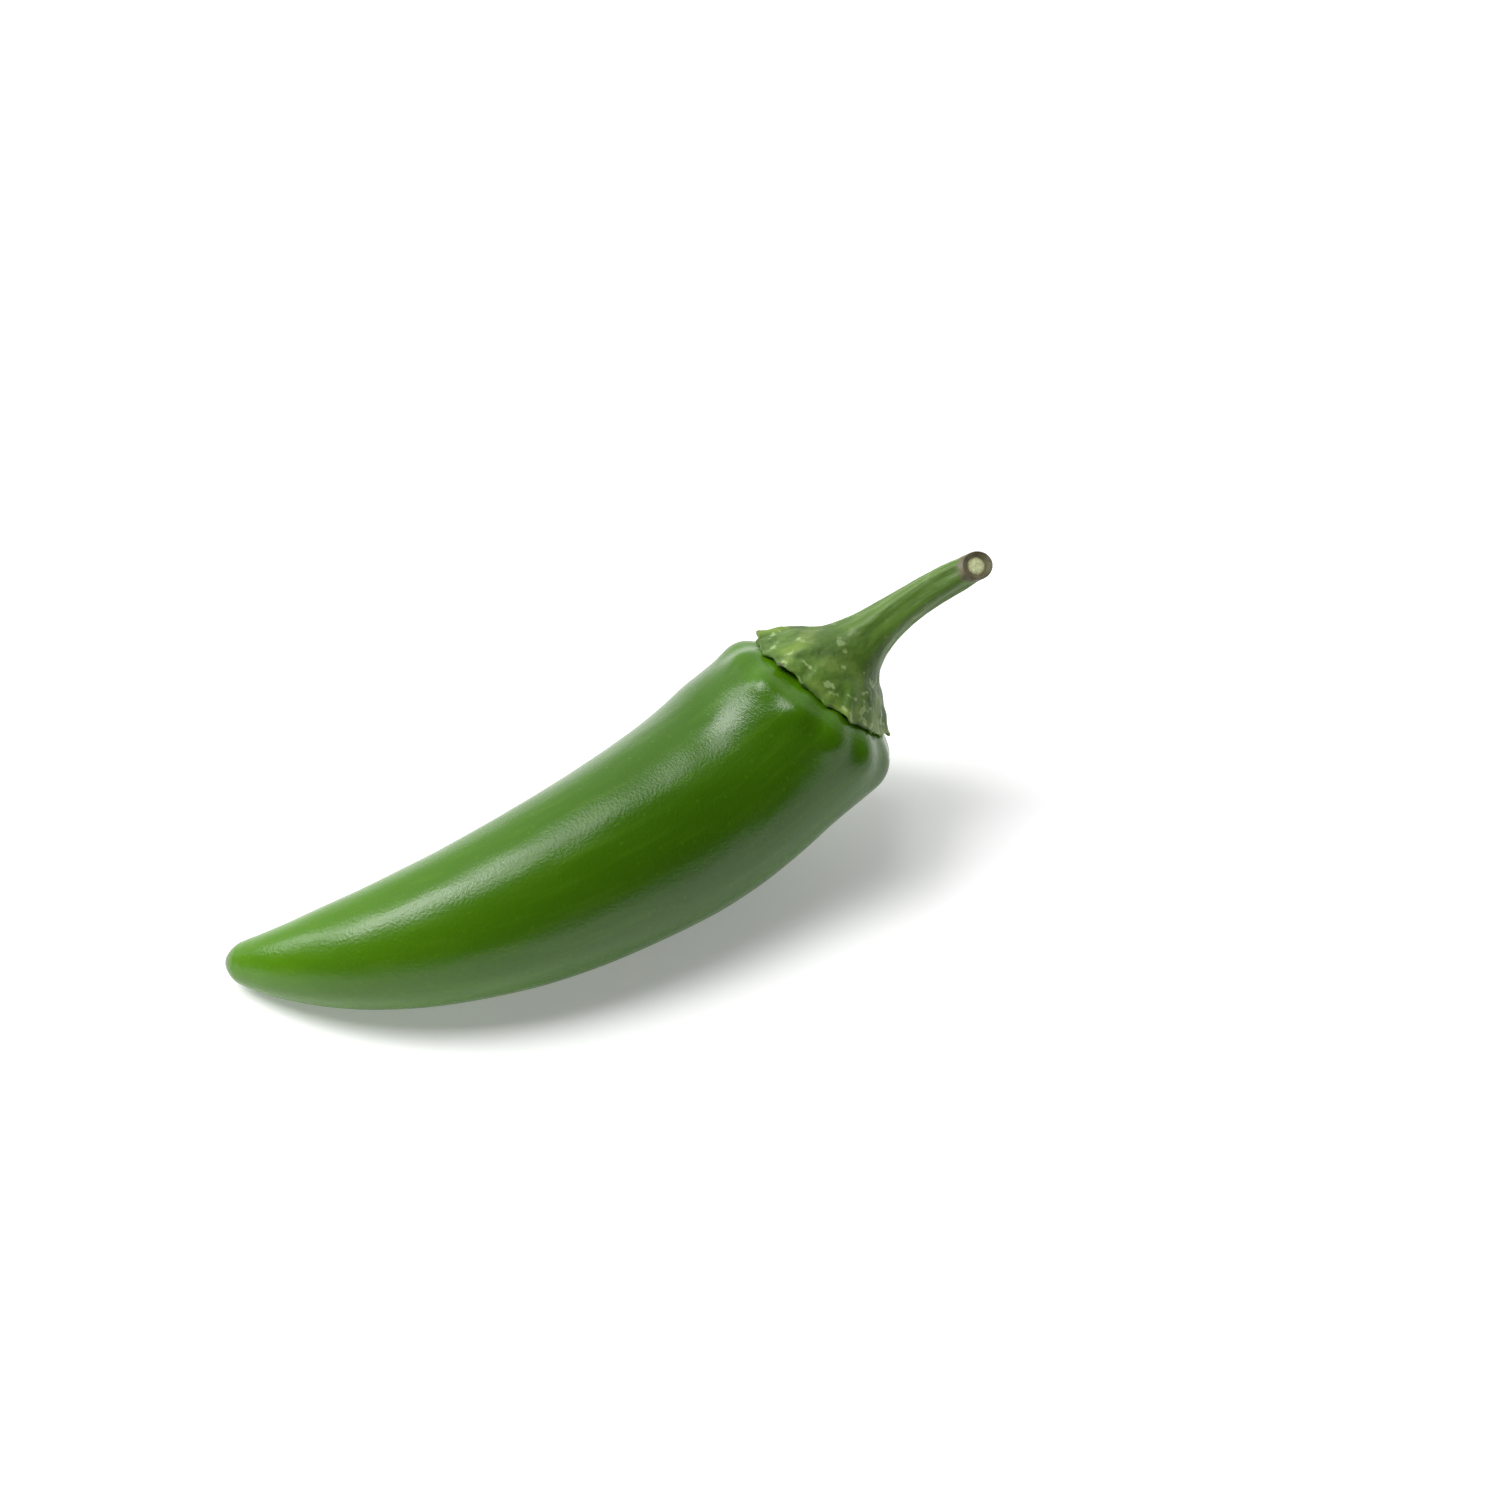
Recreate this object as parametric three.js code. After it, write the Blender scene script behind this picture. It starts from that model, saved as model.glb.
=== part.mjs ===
// A chilli pepper as picked, lying on its belly: pod, calyx and stem. Millimetres, +Z up.
// Each piece is turned about one straight axis that runs from the tip of the pod to the cut
// end of the stem. Then the axis is bent along the pepper's spine, which curves in plan and
// rises from the surface towards the stem, and the pieces are bent with it.
import * as THREE from "three";

// Pod: lengths along the spine from the tip, and shape of its side.
const POD_LENGTH = 90;
const POD_RADIUS = 13.1;
const SHOULDER_LENGTH = 7.3;
const SHOULDER_SQUARENESS = 2.7; // 2 rounds the shoulder as an ellipse, more makes it squarer
const BODY_FULLNESS = 2.67; // more keeps the full radius further towards the tip
const TIP_TAPER = 0.83; // 1 narrows to the tip as a straight cone, less rounds its sides
const TIP_RADIUS = 1.7;
const TIP_ROUNDING = 2.3;
const LOBES = 3; // one crest on top, so the pod lies on the flatter side between two crests
const LOBE_DEPTH = 0.2;
const LOBE_START = 12;
const LOBE_FULL = 53;
const BULGE = 1; // the shoulder stands out more on its full side
const BULGE_START = 75;
const BULGE_FULL = 87;
const LEAN = 1; // and reaches further along the axis on that side
const LEAN_START = 60;
const FULL_SIDE = 130; // degrees about the axis, from the top towards the right-hand side

// Spine: headings in plan, the height of the tip, and the rise of the stem end.
const TIP_HEADING = -45;
const MIDDLE_HEADING = 2.2;
const END_HEADING = 9.6;
const TIP_HEIGHT = 3;
const TIP_LIFT_LENGTH = 5;
const RISE_START = 62;
const RISE_HEIGHT = 10.7;
const RISE_POWER = 1.62;
const RISE_SOFTNESS = 0.16; // share of the rise over which it sets in
const BELLY_FLAT = 0.35; // depth by which the resting side is pressed flat
const EVENING_LENGTH = 2.5; // to either side, over which the slope of the spine is evened out

// Calyx: a thin cap on the shoulder that flares up into the stem.
const CALYX_RADIUS = 10;
const CALYX_THICKNESS = 1.3;
const CALYX_HEIGHT = 3.8; // from the end of the pod to the foot of the stem
const FLARE_LENGTH = 4.5;
const TEETH = 6;
const TOOTH_LENGTH = 0.6;
const TOOTH_NARROWNESS = 4;
const RIM_WIDTH_POWER = 6; // more keeps the teeth closer to the rim

// Stem: starts on the calyx and ends in a slanting cut.
const STEM_LENGTH = 21;
const STEM_RADIUS = 2;
const STEM_END_HEADING = -22;
const STEM_END_PITCH = 31.5;
const STEM_BEND_POWER = 1;
const CUT_SLOPE = 0.8;
const CUT_FACING = 45; // measured as FULL_SIDE is
const CUT_ROOM = 1.3; // straight stem kept clear before the cut, as a share of its depth

const CLEARANCE = 0.3; // between pieces that touch

// Fineness of the meshes.
const SPINE_STEP = 0.25;
const POD_ROWS = 46;
const POD_SEGMENTS = 48;
const POD_CROWDING = 0.8; // share by which the rows close up towards both ends
const CALYX_ROWS = 9;
const CALYX_SEGMENTS = 48;
const STEM_ROWS = 14;
const STEM_SEGMENTS = 24;

const SHOULDER_START = POD_LENGTH - SHOULDER_LENGTH;
const STEM_START = POD_LENGTH + CALYX_HEIGHT + CLEARANCE;
const STEM_END = STEM_START + STEM_LENGTH;
const CUT_START = STEM_END - CUT_ROOM * CUT_SLOPE * STEM_RADIUS;

const radians = THREE.MathUtils.degToRad;
const smoothstep = THREE.MathUtils.smoothstep;

// Radius of the pod before its shoulder is rounded.
function bodyRadius(along) {
  const fromTip = THREE.MathUtils.clamp(along / POD_LENGTH, 0, 1);
  const widening = (1 - (1 - fromTip) ** BODY_FULLNESS) ** TIP_TAPER;
  const radius = THREE.MathUtils.lerp(TIP_RADIUS, POD_RADIUS, widening);
  const flatness = 1 - THREE.MathUtils.clamp(along / TIP_ROUNDING, 0, 1);
  return radius * Math.sqrt(1 - flatness ** 2);
}

// How far along the shoulder a place is: 0 where the rounding starts, 1 at the end of the pod.
function shoulderShare(along) {
  return THREE.MathUtils.clamp((along - SHOULDER_START) / SHOULDER_LENGTH, 0, 1);
}

function podRadius(along) {
  const rounding = 1 - shoulderShare(along) ** SHOULDER_SQUARENESS;
  return bodyRadius(along) * rounding ** (1 / SHOULDER_SQUARENESS);
}

// Height of the shoulder, along the axis, where it has the given radius.
function shoulderAt(radius) {
  const share = (1 - (radius / POD_RADIUS) ** SHOULDER_SQUARENESS) ** (1 / SHOULDER_SQUARENESS);
  return SHOULDER_START + SHOULDER_LENGTH * share;
}

// Height of the underside of the calyx, which stands off the shoulder all round.
function undersideAt(radius) {
  return shoulderAt(Math.max(radius - CLEARANCE, 0)) + CLEARANCE;
}

// Depth of the lobes at a place: none at the tip, fading over the shoulder.
function lobeDepth(along) {
  const shoulder = 1 - shoulderShare(along) ** 2;
  return LOBE_DEPTH * smoothstep(along, LOBE_START, LOBE_FULL) * shoulder;
}

// How far the pod is pushed to its full side at a place, fading over the shoulder.
function bulge(along) {
  const shoulder = 1 - shoulderShare(along) ** 2;
  return BULGE * smoothstep(along, BULGE_START, BULGE_FULL) * shoulder ** 2;
}

// Radius of the stem, and of the calyx where it flares up into it.
function flareRadius(along) {
  const rim = undersideAt(CALYX_RADIUS) + CALYX_THICKNESS;
  const flare = Math.exp(-(along - rim) / FLARE_LENGTH);
  return STEM_RADIUS + (CALYX_RADIUS - STEM_RADIUS) * flare;
}

// How much of the rise is behind a place: near 0 before it starts, about 1 at the end of the pod.
function riseShare(along) {
  const share = (along - RISE_START) / (POD_LENGTH - RISE_START);
  return (share + Math.hypot(share, RISE_SOFTNESS)) / 2;
}

function axisHeight(along) {
  const belly = bodyRadius(along) - lobeDepth(along);
  const tip = TIP_HEIGHT * Math.exp(-along / TIP_LIFT_LENGTH);
  return Math.hypot(belly, tip) + RISE_HEIGHT * riseShare(along) ** RISE_POWER - BELLY_FLAT;
}

// Share of the stem's bend that is done at a place.
function stemBend(along) {
  const share = (along - POD_LENGTH) / (STEM_END - POD_LENGTH);
  return THREE.MathUtils.clamp(share, 0, 1) ** STEM_BEND_POWER;
}

function heading(along) {
  const share = Math.min(along / POD_LENGTH, 1);
  const bend = 2 * (END_HEADING + TIP_HEADING - 2 * MIDDLE_HEADING);
  const turn = END_HEADING - TIP_HEADING - bend;
  const podHeading = TIP_HEADING + turn * share + bend * share ** 2;
  return radians(THREE.MathUtils.lerp(podHeading, STEM_END_HEADING, stemBend(along)));
}

function pitch(along) {
  const here = THREE.MathUtils.clamp(along, EVENING_LENGTH, POD_LENGTH - EVENING_LENGTH);
  const climb = axisHeight(here + EVENING_LENGTH) - axisHeight(here - EVENING_LENGTH);
  const podPitch = Math.asin(THREE.MathUtils.clamp(climb / (2 * EVENING_LENGTH), -1, 1));
  return THREE.MathUtils.lerp(podPitch, radians(STEM_END_PITCH), stemBend(along));
}

// Direction of the spine, with a level side direction and an upward one square to it.
function frameAt(along) {
  const turn = heading(along);
  const climb = pitch(along);
  return {
    forward: new THREE.Vector3(
      Math.cos(turn) * Math.cos(climb),
      Math.sin(turn) * Math.cos(climb),
      Math.sin(climb),
    ),
    side: new THREE.Vector3(Math.sin(turn), -Math.cos(turn), 0),
    up: new THREE.Vector3(
      -Math.cos(turn) * Math.sin(climb),
      -Math.sin(turn) * Math.sin(climb),
      Math.cos(climb),
    ),
  };
}

// The spine, walked from the tip to a little beyond the end of the stem.
function walkSpine() {
  const tipHeight = axisHeight(EVENING_LENGTH) - EVENING_LENGTH * Math.sin(pitch(0));
  const points = [new THREE.Vector3(0, 0, tipHeight)];
  const steps = Math.ceil((STEM_END + 2 * STEM_RADIUS) / SPINE_STEP);
  for (let step = 0; step < steps; step += 1) {
    const { forward } = frameAt((step + 0.5) * SPINE_STEP);
    points.push(points[step].clone().addScaledVector(forward, SPINE_STEP));
  }
  return points;
}

const SPINE = walkSpine();

function spinePoint(along) {
  const place = THREE.MathUtils.clamp(along / SPINE_STEP, 0, SPINE.length - 1.001);
  const step = Math.floor(place);
  return SPINE[step].clone().lerp(SPINE[step + 1], place - step);
}

// Gives a point of a turned solid the lobes, the bulge and the lean that it has at its place.
function swell(turned) {
  const facing = radians(FULL_SIDE);
  const angle = Math.atan2(turned.x, turned.z);
  const towards = (turned.x * Math.sin(facing) + turned.z * Math.cos(facing)) / POD_RADIUS;
  const radius = Math.hypot(turned.x, turned.z);
  const lobe = radius > 0 ? lobeDepth(turned.y) * Math.cos(LOBES * angle) : 0;
  const push = bulge(turned.y);
  return new THREE.Vector3(
    (radius + lobe) * Math.sin(angle) + push * Math.sin(facing),
    turned.y + LEAN * towards * smoothstep(turned.y, LEAN_START, POD_LENGTH),
    (radius + lobe) * Math.cos(angle) + push * Math.cos(facing),
  );
}

// Bends a solid that was turned about the Y axis, so that the axis follows the spine, and
// presses flat what would reach below the surface.
function bend(geometry) {
  const position = geometry.getAttribute("position");
  for (let i = 0; i < position.count; i += 1) {
    const place = swell(new THREE.Vector3().fromBufferAttribute(position, i));
    const { side, up } = frameAt(place.y);
    const point = spinePoint(place.y);
    point.addScaledVector(side, place.x);
    point.addScaledVector(up, place.z);
    position.setXYZ(i, point.x, point.y, Math.max(point.z, 0));
  }
  return geometry;
}

function podGeometry() {
  const profile = [];
  for (let row = 0; row <= POD_ROWS; row += 1) {
    const share = row / POD_ROWS;
    const crowded = share - (POD_CROWDING * Math.sin(2 * Math.PI * share)) / (2 * Math.PI);
    const along = row === POD_ROWS ? POD_LENGTH : POD_LENGTH * crowded;
    const radius = row === 0 || row === POD_ROWS ? 0 : podRadius(along);
    profile.push(new THREE.Vector2(radius, along));
  }
  return bend(new THREE.LatheGeometry(profile, POD_SEGMENTS));
}

// Slides the rim of the calyx outwards over the shoulder of the pod into small teeth.
function drawTeeth(geometry) {
  const position = geometry.getAttribute("position");
  for (let i = 0; i < position.count; i += 1) {
    const radius = Math.hypot(position.getX(i), position.getZ(i));
    const angle = Math.atan2(position.getX(i), position.getZ(i));
    const tooth = Math.max(0, Math.cos(TEETH * angle)) ** TOOTH_NARROWNESS;
    const moved = radius + TOOTH_LENGTH * tooth * (radius / CALYX_RADIUS) ** RIM_WIDTH_POWER;
    const scale = radius > 0 ? moved / radius : 1;
    const slide = undersideAt(moved) - undersideAt(radius);
    position.setXYZ(
      i,
      position.getX(i) * scale,
      position.getY(i) + slide,
      position.getZ(i) * scale,
    );
  }
  return geometry;
}

function calyxGeometry() {
  const profile = [];
  for (let row = 0; row <= CALYX_ROWS; row += 1) {
    const radius = (CALYX_RADIUS * row) / CALYX_ROWS;
    profile.push(new THREE.Vector2(radius, undersideAt(radius)));
  }
  const top = POD_LENGTH + CALYX_HEIGHT;
  const rim = undersideAt(CALYX_RADIUS) + CALYX_THICKNESS;
  for (let row = 0; row <= CALYX_ROWS; row += 1) {
    const along = THREE.MathUtils.lerp(rim, top, row / CALYX_ROWS);
    profile.push(new THREE.Vector2(flareRadius(along), along));
  }
  profile.push(new THREE.Vector2(0, top));
  const geometry = new THREE.LatheGeometry(profile, CALYX_SEGMENTS);
  return bend(drawTeeth(geometry));
}

// Slants the cut end of the stem.
function slantCut(geometry) {
  const position = geometry.getAttribute("position");
  const facing = radians(CUT_FACING);
  for (let i = 0; i < position.count; i += 1) {
    if (position.getY(i) < (CUT_START + STEM_END) / 2) continue;
    const offset = position.getX(i) * Math.sin(facing) + position.getZ(i) * Math.cos(facing);
    position.setY(i, STEM_END - CUT_SLOPE * offset);
  }
  return geometry;
}

function stemGeometry() {
  const profile = [new THREE.Vector2(0, STEM_START)];
  for (let row = 0; row <= STEM_ROWS; row += 1) {
    const along = THREE.MathUtils.lerp(STEM_START, CUT_START, row / STEM_ROWS);
    profile.push(new THREE.Vector2(flareRadius(along), along));
  }
  profile.push(new THREE.Vector2(flareRadius(STEM_END), STEM_END));
  profile.push(new THREE.Vector2(0, STEM_END));
  const geometry = new THREE.LatheGeometry(profile, STEM_SEGMENTS);
  return bend(slantCut(geometry));
}

const materials = {
  pod: new THREE.MeshStandardMaterial({ color: 0x3a6410, roughness: 0.28, metalness: 0 }),
  calyx: new THREE.MeshStandardMaterial({ color: 0x5f7f38, roughness: 0.6, metalness: 0 }),
  stem: new THREE.MeshStandardMaterial({ color: 0x5c8030, roughness: 0.5, metalness: 0 }),
};

function mesh(name, geometry) {
  const made = new THREE.Mesh(geometry, materials[name]);
  made.name = name;
  return made;
}

const pepper = new THREE.Group();
pepper.add(mesh("pod", podGeometry()));
pepper.add(mesh("calyx", calyxGeometry()));
pepper.add(mesh("stem", stemGeometry()));

// The origin is on the surface, under the middle of the whole pepper's box.
const box = new THREE.Box3().setFromObject(pepper);
const middle = box.getCenter(new THREE.Vector3());
for (const piece of pepper.children) {
  piece.geometry.translate(-middle.x, -middle.y, 0);
}

export default pepper;
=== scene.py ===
"""A chilli pepper as picked, lying on its belly: a glossy pod, a calyx, a cut stem and its pith.

Each piece is first made about one straight axis that runs from the tip of the pod to the cut
end of the stem, then bent along the pepper's spine. The rules for the lobes and the shoulder
work both on plain numbers, for the spine and the profiles, and on values inside a node tree, for
the surfaces, so that these agree. Lengths are in metres.
"""

import math
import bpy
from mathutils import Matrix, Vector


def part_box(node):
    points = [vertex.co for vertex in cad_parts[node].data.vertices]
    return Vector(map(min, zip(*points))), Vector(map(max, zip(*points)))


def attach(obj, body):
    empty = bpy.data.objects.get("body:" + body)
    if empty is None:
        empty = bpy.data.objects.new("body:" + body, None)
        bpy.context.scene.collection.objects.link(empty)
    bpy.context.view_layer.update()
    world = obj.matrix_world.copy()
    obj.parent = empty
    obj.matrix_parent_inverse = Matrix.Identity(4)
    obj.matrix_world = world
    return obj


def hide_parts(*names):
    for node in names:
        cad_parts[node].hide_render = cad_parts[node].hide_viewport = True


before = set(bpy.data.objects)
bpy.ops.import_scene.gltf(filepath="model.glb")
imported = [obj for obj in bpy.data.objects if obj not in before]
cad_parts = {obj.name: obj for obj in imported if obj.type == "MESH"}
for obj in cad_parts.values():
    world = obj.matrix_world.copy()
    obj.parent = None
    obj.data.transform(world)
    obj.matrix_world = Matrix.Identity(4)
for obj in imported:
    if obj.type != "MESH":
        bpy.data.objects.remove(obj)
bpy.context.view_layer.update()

from types import SimpleNamespace

import bpy
from mathutils import Matrix, Vector

MM = 0.001

# Sizes that the trees take as named inputs.
SIZES = {
    # The pod and its ends
    "pod_length": 90 * MM,
    "pod_radius": 13.1 * MM,
    "shoulder_length": 7.3 * MM,
    "shoulder_squareness": 2.7,
    "body_fullness": 2.67,
    "tip_taper": 0.83,
    "tip_radius": 1.7 * MM,
    "tip_rounding": 2.3 * MM,
    # What makes the pod uneven: lobes, a bulge on its full side and a leaning shoulder
    "lobes": 3,
    "lobe_depth": 0.2 * MM,
    "lobe_start": 12 * MM,
    "lobe_full": 53 * MM,
    "bulge": 1 * MM,
    "bulge_start": 75 * MM,
    "bulge_full": 87 * MM,
    "lean": 1 * MM,
    "lean_start": 60 * MM,
    "full_side": math.radians(130),
    # The calyx
    "calyx_radius": 10 * MM,
    "calyx_thickness": 1.3 * MM,
    "calyx_height": 3.8 * MM,
    "flare_length": 4.5 * MM,
    "teeth": 6,
    "tooth_length": 0.6 * MM,
    "tooth_narrowness": 4,
    "rim_width_power": 6,
    # The stem and its slanting cut
    "stem_length": 21 * MM,
    "stem_radius": 2 * MM,
    "cut_slope": 0.8,
    "cut_facing": math.radians(45),
    "clearance": 0.3 * MM,
    # Finer shape of the pod's wall
    "waist_depth": 1.15 * MM,
    "waist_place": 75.4 * MM,
    "waist_length": 7 * MM,
    "dent_depth": 0.5 * MM,
    "ripple_depth": 0.2 * MM,
    "pucker_depth": 0.26 * MM,
    # Finer shape of the calyx and the stem
    "sheet_thickness": 0.5 * MM,
    "rim_lift": 1.05 * MM,
    "rim_wander": 0.5 * MM,
    "calyx_puff": 0.7 * MM,
    "wrinkle_depth": 0.3 * MM,
    "rib_height": 0.16 * MM,
    "seed": 7.3,
}
S = SimpleNamespace(**SIZES)

# Spine: headings in plan, height of the tip, rise of the shoulder, and headings of the stem's end.
TIP_HEADING = math.radians(-45)
MIDDLE_HEADING = math.radians(2.2)
END_HEADING = math.radians(9.6)
TIP_HEIGHT = 3 * MM
TIP_LIFT_LENGTH = 5 * MM
RISE_START = 62 * MM
RISE_HEIGHT = 10.7 * MM
RISE_POWER = 1.62
RISE_SOFTNESS = 0.16
BELLY_FLAT = 0.35 * MM
EVENING_LENGTH = 2.5 * MM
STEM_END_HEADING = math.radians(-22)
STEM_END_PITCH = math.radians(31.5)
CUT_ROOM = 1.3  # the stem starts to slant this many times the cut's reach before its end
SPINE_STEP = 0.25 * MM
PRESS_SOFTNESS = 0.12 * MM  # rounds the edge of the belly where it is pressed flat

STEM_START = S.pod_length + S.calyx_height
STEM_END = STEM_START + S.clearance + S.stem_length
CUT_START = STEM_END - CUT_ROOM * S.cut_slope * S.stem_radius


# ---- Arithmetic that works on numbers and on values inside a node tree ----


class Field:
    """A value inside a node tree, written into rules as plain arithmetic."""

    def __init__(self, tree, socket):
        self.tree = tree
        self.socket = socket

    def __add__(self, other):
        return calc(self.tree, "ADD", self, other)

    def __sub__(self, other):
        return calc(self.tree, "SUBTRACT", self, other)

    def __mul__(self, other):
        return calc(self.tree, "MULTIPLY", self, other)

    def __truediv__(self, other):
        return calc(self.tree, "DIVIDE", self, other)

    def __pow__(self, other):
        return calc(self.tree, "POWER", self, other)

    def __radd__(self, other):
        return calc(self.tree, "ADD", other, self)

    def __rsub__(self, other):
        return calc(self.tree, "SUBTRACT", other, self)

    def __rmul__(self, other):
        return calc(self.tree, "MULTIPLY", other, self)

    def __rtruediv__(self, other):
        return calc(self.tree, "DIVIDE", other, self)

    def __neg__(self):
        return calc(self.tree, "MULTIPLY", self, -1)


def feed(tree, socket, value):
    """Links a field to a socket, or sets the socket to a plain value."""
    if isinstance(value, Field):
        tree.links.new(value.socket, socket)
    else:
        socket.default_value = value


def calc(tree, operation, *values):
    """One Math node."""
    made = tree.nodes.new("ShaderNodeMath")
    made.operation = operation
    for socket, value in zip(made.inputs, values):
        feed(tree, socket, value)
    return Field(tree, made.outputs[0])


def shared(operation, plain):
    """A function of any number of values that works on numbers and on fields."""

    def work(*values):
        fields = [value for value in values if isinstance(value, Field)]
        return calc(fields[0].tree, operation, *values) if fields else plain(*values)

    return work


sine = shared("SINE", math.sin)
cosine = shared("COSINE", math.cos)
root = shared("SQRT", math.sqrt)
exponent = shared("EXPONENT", math.exp)
larger = shared("MAXIMUM", max)
smaller = shared("MINIMUM", min)
whole = shared("FLOOR", math.floor)
angle_of = shared("ARCTAN2", math.atan2)


def clamp(value):
    return smaller(larger(value, 0.0), 1.0)


def smooth(value, low, high):
    """0 below low, 1 above high, and an even slope at both ends."""
    share = clamp((value - low) / (high - low))
    return share * share * (3 - 2 * share)


def length_of(a, b):
    return root(a * a + b * b)


# ---- The pepper's shape about its straight axis ----


def body_radius(s, along):
    """Radius of the pod before its shoulder is rounded."""
    from_tip = clamp(along / s.pod_length)
    widening = (1 - (1 - from_tip) ** s.body_fullness) ** s.tip_taper
    radius = s.tip_radius + (s.pod_radius - s.tip_radius) * widening
    flatness = 1 - clamp(along / s.tip_rounding)
    return radius * root(1 - flatness * flatness)


def shoulder_share(s, along):
    """0 where the rounding of the shoulder starts, 1 at the end of the pod."""
    return clamp((along - s.pod_length + s.shoulder_length) / s.shoulder_length)


def pod_radius(s, along):
    rounding = 1 - shoulder_share(s, along) ** s.shoulder_squareness
    return body_radius(s, along) * rounding ** (1 / s.shoulder_squareness)


def shoulder_at(s, radius):
    """How far along the axis the shoulder has the given radius."""
    rounding = 1 - (radius / s.pod_radius) ** s.shoulder_squareness
    share = rounding ** (1 / s.shoulder_squareness)
    return s.pod_length - s.shoulder_length + s.shoulder_length * share


def lobe_depth(s, along):
    share = shoulder_share(s, along)
    return s.lobe_depth * smooth(along, s.lobe_start, s.lobe_full) * (1 - share * share)


def bulge(s, along):
    share = shoulder_share(s, along)
    fade = 1 - share * share
    return s.bulge * smooth(along, s.bulge_start, s.bulge_full) * fade * fade


def rim_height(s):
    """Place along the axis of the upper edge of the calyx rim."""
    return shoulder_at(s, s.calyx_radius - s.clearance) + s.clearance + s.calyx_thickness


def flare_radius(s, along):
    """Radius of the stem, and of the calyx where it flares up into it."""
    flare = exponent(-(along - rim_height(s)) / s.flare_length)
    return s.stem_radius + (s.calyx_radius - s.stem_radius) * flare


# ---- The spine ----


def axis_height(along):
    belly = body_radius(S, along) - lobe_depth(S, along)
    tip = TIP_HEIGHT * math.exp(-along / TIP_LIFT_LENGTH)
    past = (along - RISE_START) / (S.pod_length - RISE_START)
    rise = (past + math.hypot(past, RISE_SOFTNESS)) / 2
    return math.hypot(belly, tip) + RISE_HEIGHT * rise**RISE_POWER - BELLY_FLAT


def stem_bend(along):
    return clamp((along - S.pod_length) / (STEM_END - S.pod_length))


def between(low, high, share):
    return low + (high - low) * share


def heading(along):
    share = min(along / S.pod_length, 1)
    curve = 2 * (END_HEADING + TIP_HEADING - 2 * MIDDLE_HEADING)
    turn = END_HEADING - TIP_HEADING - curve
    pod_heading = TIP_HEADING + turn * share + curve * share**2
    return between(pod_heading, STEM_END_HEADING, stem_bend(along))


def pitch(along):
    here = min(max(along, EVENING_LENGTH), S.pod_length - EVENING_LENGTH)
    climb = axis_height(here + EVENING_LENGTH) - axis_height(here - EVENING_LENGTH)
    pod_pitch = math.asin(min(max(climb / (2 * EVENING_LENGTH), -1), 1))
    return between(pod_pitch, STEM_END_PITCH, stem_bend(along))


def directions(along):
    """Forward along the spine, level to its right, and up square to both."""
    turn = heading(along)
    climb = pitch(along)
    flat = Vector((math.cos(turn), math.sin(turn), 0))
    forward = flat * math.cos(climb) + Vector((0, 0, math.sin(climb)))
    side = Vector((math.sin(turn), -math.cos(turn), 0))
    up = flat * -math.sin(climb) + Vector((0, 0, math.cos(climb)))
    return forward, side, up


def line_object(name, points):
    """An object whose mesh is a row of points joined by edges."""
    mesh = bpy.data.meshes.new(name)
    mesh.from_pydata(points, [(i, i + 1) for i in range(len(points) - 1)], [])
    line = bpy.data.objects.new(name, mesh)
    bpy.context.scene.collection.objects.link(line)
    return line


def add_spine():
    """The spine as a row of points, each with its side and up directions."""
    tip_height = axis_height(EVENING_LENGTH) - EVENING_LENGTH * math.sin(pitch(0))
    points = [Vector((0, 0, tip_height))]
    steps = math.ceil((STEM_END + 2 * S.stem_radius) / SPINE_STEP)
    for step in range(steps):
        forward = directions((step + 0.5) * SPINE_STEP)[0]
        points.append(points[-1] + forward * SPINE_STEP)
    spine = line_object("spine", points)
    for place, name in enumerate(("side", "up")):
        layer = spine.data.attributes.new(name, "FLOAT_VECTOR", "POINT")
        for step, entry in enumerate(layer.data):
            entry.vector = directions(step * SPINE_STEP)[place + 1]
    return spine


# ---- Parts of a geometry tree ----

LOBE_FADE = 1 * MM  # this near the axis the lobes fade out
WELD_DISTANCE = 0.001 * MM


def new_tree(name):
    """An empty geometry tree with the spine and every size as named inputs."""
    tree = bpy.data.node_groups.new(name, "GeometryNodeTree")
    sockets = tree.interface
    sockets.new_socket("Geometry", in_out="OUTPUT", socket_type="NodeSocketGeometry")
    sockets.new_socket("Profile", in_out="INPUT", socket_type="NodeSocketGeometry")
    sockets.new_socket("Spine", in_out="INPUT", socket_type="NodeSocketObject")
    for size in SIZES:
        sockets.new_socket(size, in_out="INPUT", socket_type="NodeSocketFloat")
    start = tree.nodes.new("NodeGroupInput")
    sizes = {size: Field(tree, start.outputs[size]) for size in SIZES}
    return tree, start, SimpleNamespace(**sizes)


def node(tree, kind, values=(), **settings):
    """Adds a node with its settings, then feeds its sockets by name."""
    made = tree.nodes.new(kind)
    for name, setting in settings.items():
        setattr(made, name, setting)
    for name, value in dict(values).items():
        feed(tree, made.inputs[name], value)
    return made


def output(made, name=0):
    return Field(made.id_data, made.outputs[name])


def join(tree, x, y, z):
    return output(node(tree, "ShaderNodeCombineXYZ", {"X": x, "Y": y, "Z": z}))


def split(tree, vector):
    made = node(tree, "ShaderNodeSeparateXYZ", {"Vector": vector})
    return output(made, "X"), output(made, "Y"), output(made, "Z")


def vector_calc(tree, operation, first, second):
    made = tree.nodes.new("ShaderNodeVectorMath")
    made.operation = operation
    feed(tree, made.inputs[0], first)
    feed(tree, made.inputs["Scale" if operation == "SCALE" else 1], second)
    return output(made)


def noise(tree, vector, scale, detail=2.0, roughness=0.5):
    """Soft noise from -1 to 1. The scale is in patches per metre."""
    values = {"Vector": vector, "Scale": scale, "Detail": detail, "Roughness": roughness}
    return output(node(tree, "ShaderNodeTexNoise", values)) * 2 - 1


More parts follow.
